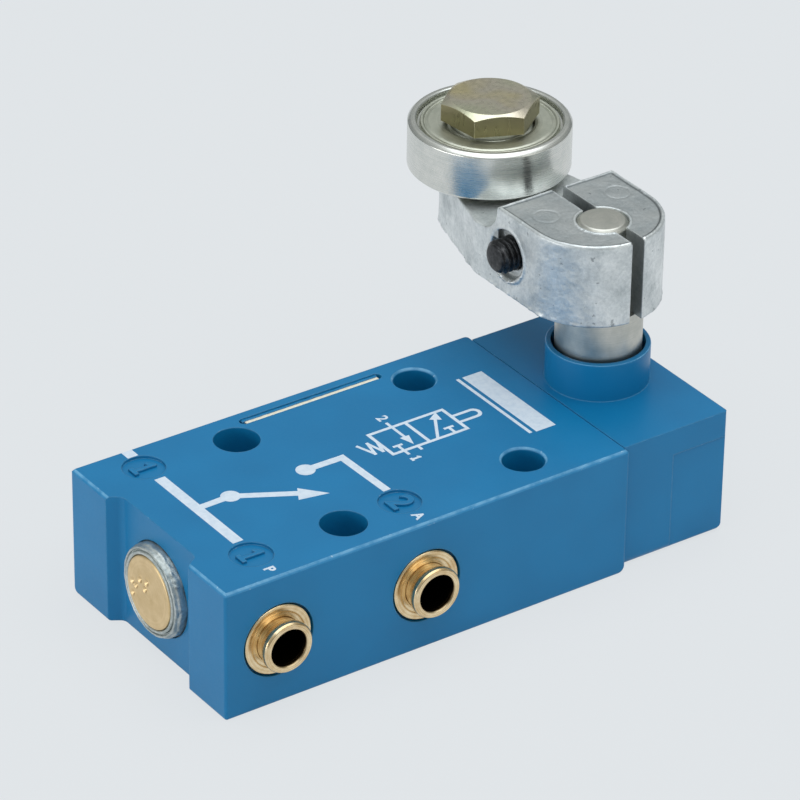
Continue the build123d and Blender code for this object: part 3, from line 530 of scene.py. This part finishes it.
# Ball bearing: rings with ground chamfers, and pressed shields
outer_ring = turned(
    "outer_ring_ground",
    [
        [
            (33.0, 8.6), (33.0, 9.1), (33.4, 9.5), (38.6, 9.5), (39.0, 9.1), (39.0, 8.6),
            (38.85, 8.45), (38.2, 8.4), (38.2, 7.4), (37.0, 7.4), (36.6, 7.95), (36.0, 8.05),
            (35.4, 7.95), (35.0, 7.4), (33.8, 7.4), (33.8, 8.4), (33.15, 8.45),
        ]
    ],
    upright_at(*ROLLER),
    "roller",
    RING_STEEL,
    steps=240,
    round_by=0.12,
)
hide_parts("bearing_outer_ring")
inner_ring = turned(
    "inner_ring_ground",
    [
        [
            (33.0, 3.0), (33.0, 4.55), (33.7, 4.62), (33.9, 5.05), (35.0, 5.1), (35.4, 4.55), (36.0, 4.45),
            (36.6, 4.55), (37.0, 5.1), (38.1, 5.05), (38.3, 4.62), (39.0, 4.55), (39.0, 3.0),
        ]
    ],
    upright_at(*ROLLER),
    "lever",
    SHIELD_STEEL,
    round_by=0.08,
)
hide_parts("bearing_inner_ring")
shields = turned(
    "shields_pressed",
    [
        [
            (38.25, 5.15), (38.52, 5.15), (38.57, 5.5), (38.57, 7.1), (38.46, 7.35), (38.46, 7.55),
            (38.66, 7.7), (38.68, 7.95), (38.5, 8.05), (38.22, 8.1), (38.2, 7.9), (38.2, 7.3), (38.3, 7.0), (38.3, 5.6),
        ],
        [
            (33.75, 5.15), (33.48, 5.15), (33.43, 5.5), (33.43, 7.1), (33.54, 7.35), (33.54, 7.55),
            (33.34, 7.7), (33.32, 7.95), (33.5, 8.05), (33.78, 8.1), (33.8, 7.9), (33.8, 7.3), (33.7, 7.0), (33.7, 5.6),
        ],
    ],
    upright_at(*ROLLER),
    "roller",
    SHIELD_STEEL,
    steps=200,
    round_by=0.05,
)
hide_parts("bearing_shields")

# Tube fittings: a pressed-in insert with a stepped flange, and the collet in it
for name, (x, side) in PORTS.items():
    turned(
        f"insert_{name}",
        [
            [
                (-0.12, 2.72), (-0.12, 3.3), (0.0, 3.42), (0.0, 4.1), (-0.15, 4.25), (-0.8, 4.25), (-0.8, 3.8),
                (-8.5, 3.8), (-8.5, 1.5), (-7.3, 1.5), (-7.3, 3.0), (-6.35, 3.0), (-6.35, 3.02),
                (-2.15, 3.02), (-2.15, 2.72),
            ]
        ],
        out_of_port(x, side),
        "body",
        PORT_BRASS[name],
        round_by=0.08,
    )
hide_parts("port_inserts")


def collet(name, x, side):
    """The collet's rim, neck and its four sprung fingers."""
    shape = bmesh.new()
    outline = softened(
        [
            (2.1, 2.34), (2.1, 2.86), (1.86, 3.05), (1.28, 3.05), (1.1, 2.9), (1.02, 2.7),
            (-2.3, 2.7), (-2.45, 2.98), (-4.25, 2.98), (-5.15, 2.7), (-5.15, 2.1), (1.5, 2.1), (1.9, 2.2),
        ],
        0.07,
    )
    lathe(shape, outline, out_of_port(x, side), 160)
    slits = []
    for face in shape.faces:
        middle = face.calc_center_median() / MM
        depth = side * middle.y - HALF_WIDTH
        across = min(abs(middle.x - x), abs(middle.z - VALVE_Z))
        if depth < -2.5 and across < 0.3:
            slits.append(face)
    bmesh.ops.delete(shape, geom=slits, context="FACES")
    made = from_bmesh(f"{name}_turned", shape, name, PORT_BRASS[name.replace("collet_", "")])
    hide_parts(name)


for name, (x, side) in PORTS.items():
    collet(f"collet_{name}", x, side)


# End plug: a rough cast collar and a brass disc with a few punch dimples
def collar_skin(along, radius, turn):
    at = lengthwise(along, radius, turn)
    if radius > 4.6 and along < -28.4:
        push = wander(at, 0.9, 0.08) + wander(at, 2.6, 0.05, 4.0)
        return Vector((0.4 * push.x, push.y, push.z))
    return Vector((0, 0, 0))


collar_rows = [(-29.5 + step * 0.17, 5.46) for step in range(6)]
collar = turned(
    "collar_cast",
    [
        [
            (-30.20, 4.34), (-30.32, 4.44), (-30.34, 4.66), (-30.26, 4.74), (-29.98, 4.80), (-29.98, 4.90),
            (-30.22, 4.97), (-30.26, 5.10), (-30.18, 5.22), (-29.86, 5.30), (-29.66, 5.42), *collar_rows,
            (-28.5, 5.58), (-27.0, 5.58), (-27.0, 3.6), (-28.5, 3.6), (-28.5, 4.32),
        ]
    ],
    lengthwise,
    "body",
    COLLAR_ZINC,
    steps=220,
    round_by=0.05,
    change=collar_skin,
)
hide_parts("end_collar")

DIMPLES = [(3.17, 7.97), (1.6, 8.87), (2.4, 7.78), (0.23, 9.18), (0.6, 8.13), (3.1, 6.49)]


def punched(along, radius, turn):
    at = lengthwise(along, radius, turn)
    if along > -30.2:
        return Vector((0, 0, 0))
    push = 0.0
    for y, z in DIMPLES:
        away = math.hypot(at.y - y, at.z - z)
        push += 0.24 * math.exp(-((away / 0.27) ** 2)) - 0.05 * math.exp(-(((away - 0.52) / 0.15) ** 2))
    return Vector((push, 0, 0))


face_rows = [(-30.4, radius * 0.1) for radius in range(1, 41)]
disc = turned(
    "disc_turned",
    [
        [
            (-30.4, 0), *face_rows, (-30.4, 4.1), (-30.34, 4.22), (-30.2, 4.28), (-28.5, 4.28),
            (-28.5, 3.6), (-27.0, 3.6), (-27.0, 3.22), (-27.75, 3.22), (-27.75, 0),
        ]
    ],
    lengthwise,
    "body",
    DISC_BRASS,
    steps=220,
    round_by=0.03,
    change=punched,
)
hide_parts("end_disc")


def strip(name, start, end, outline, finish, ripple):
    """A long strip along X with that outline of (y, z) points and slightly uneven edges."""
    shape = bmesh.new()
    count = 160
    rows = []
    for index in range(count + 1):
        x = start + (end - start) * index / count
        lift = Vector((0, 0.6 * noise.noise(Vector((x * 1.3, 0, 0))), 0.5 * noise.noise(Vector((x * 0.9, 5, 0)))))
        row = []
        for y, z in softened(outline, 0.05):
            push = lift * ripple if z > TOP - 1 else Vector((0, 0, 0))
            row.append(shape.verts.new((Vector((x, y, z)) + push) * MM))
        rows.append(row)
    for first, second in zip(rows, rows[1:]):
        for side in range(len(first)):
            onward = (side + 1) % len(first)
            shape.faces.new((first[side], first[onward], second[onward], second[side]))
    shape.faces.new(rows[0][::-1])
    shape.faces.new(rows[-1])
    return from_bmesh(name, shape, "body", finish)


# Exhaust slot: the pale leaf along its front side and the blue baffle behind it
leaf = strip(
    "exhaust_leaf", -9.1, 8.8, [(12.80, 6.0), (13.33, 6.0), (13.33, 15.96), (12.80, 15.96)], LEAF_BRASS, 0.05
)
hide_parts("exhaust_strip")
strip(
    "exhaust_baffle", -9.3, 9.0, [(13.55, 13.0), (13.98, 13.0), (13.98, 15.86), (13.55, 15.86)],
    BLUE, 0.10,
)


# Clamp screw with its thread, a flat point and a hexagon socket
def clamp_screw():
    pitch, crest, root = 0.7, 2.0, 1.60
    y, z = 6.85, 30.8
    start, shank, head, end = 20.15, 33.0, 35.1, 38.1
    steps = 72
    shape = bmesh.new()

    def thread_radius(x, turn):
        phase = ((x - start) / pitch - turn / (2 * math.pi)) % 1.0
        wave = abs(2 * phase - 1)
        depth = min(1.0, max(0.0, (wave - 0.18) / 0.62))
        point = min(1.0, (x - start) / 0.5)
        return min(root + (crest - root) * (1 - depth), 1.5 + 0.5 * point)

    def hexagon(turn, flats):
        step = math.pi / 3
        return flats / 2 / math.cos((turn + step / 2) % step - step / 2)

    rings = [(start, lambda turn: 1e-4), (start, lambda turn: 0.8), (start, lambda turn: 1.38)]
    x = start + 0.06
    while x < shank:
        rings.append((x, lambda turn, x=x: thread_radius(x, turn)))
        x += pitch / 9
    rings += [
        (shank + 0.2, lambda turn: 1.98),
        (head, lambda turn: 1.98),
        (head + 0.01, lambda turn: 2.85),
        (head + 0.15, lambda turn: 3.0),
        (end - 0.3, lambda turn: 3.0),
        (end - 0.08, lambda turn: 2.92),
        (end, lambda turn: 2.7),
        (end, lambda turn: hexagon(turn, 3.3)),
        (end - 0.12, lambda turn: hexagon(turn, 3.0)),
        (end - 1.6, lambda turn: hexagon(turn, 3.0)),
        (end - 1.62, lambda turn: 1.2),
        (end - 1.9, lambda turn: 1e-4),
    ]
    rows = []
    for along, radius in rings:
        row = []
        for step in range(steps):
            turn = 2 * math.pi * step / steps
            reach = radius(turn)
            row.append(shape.verts.new(Vector((along, y + reach * math.cos(turn), z + reach * math.sin(turn))) * MM))
        rows.append(row)
    for first, second in zip(rows, rows[1:]):
        for step in range(steps):
            onward = (step + 1) % steps
            shape.faces.new((first[step], second[step], second[onward], first[onward]))
    made = from_bmesh("clamp_screw_threaded", shape, "lever", BLACK_STEEL, 50)
    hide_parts("clamp_screw")


clamp_screw()


# Lever casting: the solid's own form with rolled edges, a rippled skin and a little flash
def lever_casting():
    shape = bmesh.new()
    shape.from_mesh(nodes["clamp_lever"].data)
    # The web that eases the jaws into the arm, on both sides of the split
    radius, wall, floor = 2.9, 9.0, 32.3
    web = [(wall - 0.4, floor - 0.4), (wall + radius, floor - 0.4)]
    for step in range(9):
        turn = math.pi / 2 * step / 8
        web.append((wall + radius * (1 - math.sin(turn)), floor + radius * (1 - math.cos(turn))))
    web.append((wall - 0.4, floor + radius))
    for left, right in ((SHAFT_X - 8.06, SHAFT_X - 0.45), (SHAFT_X + 1.15, SHAFT_X + 8.06)):
        ends = [[shape.verts.new(Vector((x, y, z)) * MM) for y, z in web] for x in (left, right)]
        shape.faces.new(ends[0])
        shape.faces.new(ends[1][::-1])
        for index in range(len(web)):
            onward = (index + 1) % len(web)
            shape.faces.new((ends[0][index], ends[1][index], ends[1][onward], ends[0][onward]))
    rough = bpy.data.meshes.new("lever_block")
    shape.to_mesh(rough)
    shape.free()
    block = bpy.data.objects.new("lever_block", rough)
    scene.collection.objects.link(block)
    welded = block.modifiers.new("weld", "WELD")
    welded.merge_threshold = 1e-6
    voxels = block.modifiers.new("voxels", "REMESH")
    voxels.mode = "VOXEL"
    voxels.voxel_size = 0.115 * MM
    eased = block.modifiers.new("eased", "SMOOTH")
    eased.factor = 0.5
    eased.iterations = 3
    ready = block.evaluated_get(bpy.context.evaluated_depsgraph_get())
    mesh = bpy.data.meshes.new_from_object(ready)
    bpy.data.objects.remove(block)
    mesh.name = "lever_casting"
    bottom, top = 25.7, 35.9
    places = [vertex.co / MM for vertex in mesh.vertices]
    normals = [vertex.normal.copy() for vertex in mesh.vertices]
    moved, painted_shades_and_marks = [], []
    for at, normal in zip(places, normals):
        dull = 0.0
        from_pin = math.hypot(at.x - SHAFT_X, at.y)
        if from_pin < 3.3 or abs(at.x - SHAFT_X - 0.35) < 0.95:
            # Painted shade on the walls of the split
            if from_pin > 3.02 and abs(at.x - SHAFT_X - 0.35) < 0.86 and at.y < 9.72:
                dull = 0.40
            moved.extend(at * MM)
            painted_shades_and_marks.append(dull)
            continue
        swell = noise.noise(at * 0.55) * 0.045 + noise.noise(at * 1.9) * 0.018
        from_screw = math.hypot(at.y - 6.85, at.z - 30.8)
        if from_screw < 2.95:
            swell *= 0.2
            # Painted shade in the mouths of the screw hole
            dull = 0.45 if at.x < 22.4 or at.x > 37 else 0.0
        elif from_screw < 4.2 and at.x < 23:
            # A raised lip round the screw hole, torn at its lower side
            torn = max(0.0, (30.0 - at.z) / 3) * abs(noise.noise(at * 3.1)) * 0.9
            swell += (0.10 + torn) * math.exp(-(((from_screw - 3.25) / 0.22) ** 2))
        if at.z > top - 0.3:
            # Faint rings where the ejector pins stood, a little darker along them
            for x, y in ((25.3, 4.2), (35.4, 4.4)):
                ring = abs(math.hypot(at.x - x, at.y - y) - 1.45)
                swell -= 0.05 * math.exp(-((ring / 0.14) ** 2))
                dull = max(dull, 0.35 * math.exp(-((ring / 0.16) ** 2)))
            # The flat top lies a little below the rolled edge
            inside = 8.1 - math.hypot(at.x - SHAFT_X, min(0.0, at.y - 1.8))
            inside = min(inside, 9.0 - at.y)
            swell -= 0.10 * min(1.0, max(0.0, (inside - 0.44) / 0.14))
            swell += 0.08 * math.exp(-(((inside - 0.25) / 0.18) ** 2))
            # Painted shade: the flat top darker, and a dark line just inside the rolled edge
            if normal.z > 0.5:
                dull = max(dull, 0.34 * min(1.0, max(0.0, (inside - 0.38) / 0.1)))
                dull = max(dull, math.exp(-(((inside - 0.58) / 0.14) ** 2)))
        low = max(0.0, 1 - (at.z - bottom) / 0.5)
        flash = low * max(0.0, noise.noise(at * 0.9 + Vector((7, 3, 0))) + 0.08) * 0.25
        flash += low * max(0.0, noise.noise(at * 2.4)) * 0.06
        # Darker patches in noise along the bottom edge
        dull = max(dull, 0.5 * low * max(0.0, noise.noise(at * 1.6 + Vector((0, 9, 0))) * 2 - 0.3))
        outward = Vector((normal.x, normal.y, 0))
        moved.extend((at + normal * swell + outward * flash) * MM)
        painted_shades_and_marks.append(dull)
    mesh.vertices.foreach_set("co", moved)
    mesh.attributes.new("dull", "FLOAT", "POINT").data.foreach_set("value", painted_shades_and_marks)
    mesh.update()
    made = finish_mesh("lever_casting", mesh, "lever", LEVER_ZINC, 180)
    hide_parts("clamp_lever")


lever_casting()


# Printed marks on the top face
layer = [0]


def prism(shape, outline, low, high):
    """A flat plate with that outline; each plate is a hair higher than the last."""
    layer[0] += 1
    rise = 0.0004 * (layer[0] % 12)
    lower = [shape.verts.new(Vector((x, y, low)) * MM) for x, y in outline]
    upper = [shape.verts.new(Vector((x, y, high + rise)) * MM) for x, y in outline]
    shape.faces.new(lower[::-1])
    shape.faces.new(upper)
    count = len(outline)
    for index in range(count):
        onward = (index + 1) % count
        shape.faces.new((lower[index], lower[onward], upper[onward], upper[index]))


def bar(start, end, width, ends=(0.0, 0.0)):
    first, second = Vector(start), Vector(end)
    along = (second - first).normalized()
    first, second = first - along * ends[0], second + along * ends[1]
    side = Vector((-along.y, along.x)) * width / 2
    return [tuple(first + side), tuple(first - side), tuple(second - side), tuple(second + side)]


def run(points, width, ends=0.0):
    out = []
    for index, (start, end) in enumerate(zip(points, points[1:])):
        first = ends if index == 0 else width / 2
        last = ends if index == len(points) - 2 else width / 2
        out.append(bar(start, end, width, (first, last)))
    return out


def dot(x, y, radius, steps=36):
    return [
        (x + radius * math.cos(2 * math.pi * step / steps), y + radius * math.sin(2 * math.pi * step / steps))
        for step in range(steps)
    ]


def printed(name, outlines, low=TOP - 0.02, high=TOP + 0.012, finish=PRINT):
    shape = bmesh.new()
    for outline in outlines:
        prism(shape, outline, low, high)
    return from_bmesh(name, shape, "body", finish)


flow_lines = [
    bar((-23.5, 15.15), (-23.5, 13.75), 1.35),
    bar((-23.5, 8.35), (-23.5, -7.35), 1.35),
    bar((-23.2, 0.8), (-19.1, 0.9), 0.95),
    dot(-19.1, 0.9, 1.12),
    bar((-19.1, 0.9), (-12.6, -2.72), 0.95),
    [(-12.15, -1.75), (-13.35, -3.85), (-9.75, -4.55)],
    dot(-9.24, 0.94, 1.12),
    *run([(-9.24, 0.94), (-4.45, 0.86), (-4.22, -7.55)], 0.98, 0.0),
]
printed("flow_lines", flow_lines)

thin = 0.42
symbol = [
    *run([(0.66, 3.2), (10.72, 3.2), (10.72, -1.7), (0.66, -1.7), (0.66, 3.2)], thin, thin / 2),
    bar((5.62, 3.2), (5.62, -1.7), thin),
    bar((3.85, 4.3), (3.85, 0.6), 0.36),
    [(3.25, 0.75), (4.45, 0.75), (3.82, -1.15)],
    bar((6.75, -1.6), (9.0, 2.15), 0.36),
    [(8.25, 2.2), (9.45, 1.45), (9.75, 3.15)],
    bar((1.5, -0.45), (2.75, -0.45), 0.36),
    bar((2.12, -0.45), (2.12, -2.7), 0.36),
    bar((8.45, -0.35), (9.75, -0.35), 0.36),
    bar((9.1, -0.35), (9.1, -1.6), 0.36),
    bar((3.92, -1.7), (3.92, -2.6), 0.36),
    bar((10.8, 1.4), (13.2, 1.4), thin),
    bar((10.8, -0.1), (13.2, -0.1), thin),
    *run(
        [(13.2 + 0.75 * math.sin(t * math.pi / 8), 0.65 + 0.75 * math.cos(t * math.pi / 8)) for t in range(9)],
        thin,
        0.05,
    ),
    *run([(-1.75, 1.9), (-0.95, -0.5), (-0.45, 1.75), (0.1, -0.5), (0.6, 1.3)], 0.36, 0.1),
]
printed("valve_symbol", symbol)
printed(
    "blank_plate",
    [
        [(16.72, 7.75), (16.72, -6.5), (19.4, -6.5), (19.4, 7.75)],
        bar((16.05, 7.75), (16.05, -6.4), 0.42),
    ],
)


def digit(name, text, x, y, size, low, high, finish, weight=0.0, turn=-90.0):
    """A plain number standing on the top, read along the part's -Y."""
    curve = bpy.data.curves.new(name, "FONT")
    curve.body = text
    curve.size = size
    curve.align_x = "CENTER"
    curve.align_y = "CENTER"
    curve.extrude = (high - low) / 2
    curve.offset = weight
    curve.bevel_depth = 0.0
    maker = bpy.data.objects.new(name + "_curve", curve)
    scene.collection.objects.link(maker)
    ready = maker.evaluated_get(bpy.context.evaluated_depsgraph_get())
    mesh = bpy.data.meshes.new_from_object(ready)
    bpy.data.objects.remove(maker)
    mesh.transform(
        Matrix.Translation(Vector((x, y, (low + high) / 2)) * MM)
        @ Matrix.Rotation(math.radians(turn), 4, "Z")
        @ Matrix.Scale(MM, 4)
    )
    mesh.name = name
    return finish_mesh(name, mesh, "body", finish)


def one(x, y, height, width):
    """A plain number one with its foot and flag, its top towards +X."""
    half, foot, reach = width / 2, 0.24 * height, 0.27 * height
    outline = [
        (0, foot), (0, -foot), (width, -foot), (width, -half), (height, -half), (height, 0.3 * half),
        (0.78 * height, reach), (0.66 * height, 0.85 * reach), (0.74 * height, half), (width, half), (width, foot),
    ]
    return [[(x - height / 2 + up, y + left) for up, left in outline]]


DISC_FLOOR = TOP - 0.35
printed("disc_number_1", one(-23.7, 11.25, 3.1, 0.5), DISC_FLOOR - 0.05, TOP - 0.06, BLUE)
printed("disc_number_2", one(-23.7, -10.2, 3.1, 0.5), DISC_FLOOR - 0.05, TOP - 0.06, BLUE)
digit("disc_number_3", "2", -4.4, -10.2, 4.3, DISC_FLOOR - 0.05, TOP - 0.06, BLUE, 0.10)
digit("symbol_number_2", "2", 4.0, 5.35, 1.9, TOP - 0.02, TOP + 0.012, PRINT, 0.05)
printed("symbol_number_1", one(2.3, -3.75, 1.35, 0.32))
digit("port_letter_supply", "P", -23.75, -13.75, 1.75, TOP - 0.02, TOP + 0.012, PRINT, 0.06)
digit("port_letter_outlet", "A", -4.45, -13.75, 1.75, TOP - 0.02, TOP + 0.012, PRINT, 0.06)


# Stage: a pale floor, pale surroundings and soft lamps
def camera_like(tree):
    """1 for rays that come from the camera or from a mirror or through glass."""
    path = add(tree, "ShaderNodeLightPath")
    both = maths(tree, "MAXIMUM", path.outputs["Is Camera Ray"], path.outputs["Is Glossy Ray"])
    return maths(tree, "MAXIMUM", both, path.outputs["Is Transmission Ray"])


PALE = (0.750, 0.780, 0.802)


def make_floor():
    shape = bmesh.new()
    for x, y in ((-3, -3), (3, -3), (3, 3), (-3, 3)):
        shape.verts.new((x, y, -0.00002))
    shape.faces.new(shape.verts)
    mesh = bpy.data.meshes.new("floor")
    shape.to_mesh(mesh)
    shape.free()
    floor = bpy.data.objects.new("floor", mesh)
    scene.collection.objects.link(floor)
    made = bpy.data.materials.new("floor")
    made.use_nodes = True
    tree = made.node_tree
    tree.nodes.clear()
    lit = add(tree, "ShaderNodeBsdfDiffuse", {"Color": (*PALE, 1)}).outputs[0]
    glow = add(tree, "ShaderNodeEmission", {"Color": (*PALE, 1), "Strength": 1.0}).outputs[0]
    share = maths(tree, "MULTIPLY", camera_like(tree), 0.90)
    blended = add(tree, "ShaderNodeMixShader", {0: share, 1: lit, 2: glow}).outputs[0]
    output = add(tree, "ShaderNodeOutputMaterial")
    tree.links.new(blended, output.inputs["Surface"])
    mesh.materials.append(made)


def make_world():
    world = bpy.data.worlds.new("studio")
    scene.world = world
    world.use_nodes = True
    tree = world.node_tree
    tree.nodes.clear()
    toward = add(tree, "ShaderNodeTexCoord").outputs["Generated"]
    height = add(tree, "ShaderNodeSeparateXYZ", {0: toward}).outputs["Z"]
    seen = ramp(
        tree,
        height,
        [
            (0.0, (0.09, 0.10, 0.10)),
            (1.0, (0.80, 0.82, 0.82)),
            (0.14, (0.27, 0.29, 0.29)),
            (0.45, (0.38, 0.40, 0.39)),
            (0.75, (0.62, 0.64, 0.63)),
        ],
    )
    soft = add(tree, "ShaderNodeBackground", {"Color": (0.95, 0.98, 1.0, 1), "Strength": 0.50}).outputs[0]
    shown = add(tree, "ShaderNodeBackground", {"Color": seen, "Strength": 1.0}).outputs[0]
    blended = add(tree, "ShaderNodeMixShader", {0: camera_like(tree), 1: soft, 2: shown}).outputs[0]
    output = add(tree, "ShaderNodeOutputWorld")
    tree.links.new(blended, output.inputs["Surface"])


def lamp(name, place, size, power, colour=(1, 1, 1), aim=(0.005, 0.0, 0.012)):
    data = bpy.data.lights.new(name, "AREA")
    data.shape = "RECTANGLE"
    data.size, data.size_y = size
    data.energy = power
    data.color = colour
    made = bpy.data.objects.new(name, data)
    made.location = place
    made.rotation_euler = (Vector(aim) - Vector(place)).to_track_quat("-Z", "Y").to_euler()
    scene.collection.objects.link(made)


make_floor()
make_world()
lamp("top_softbox", (0.02, -0.06, 0.62), (0.85, 0.75), 3.2, (0.93, 0.97, 1.0))
lamp("left_softbox", (-0.62, 0.05, 0.10), (0.5, 0.22), 1.15)
lamp("front_softbox", (0.25, -0.62, 0.22), (0.35, 0.35), 0.36, (1.0, 1.0, 0.93))
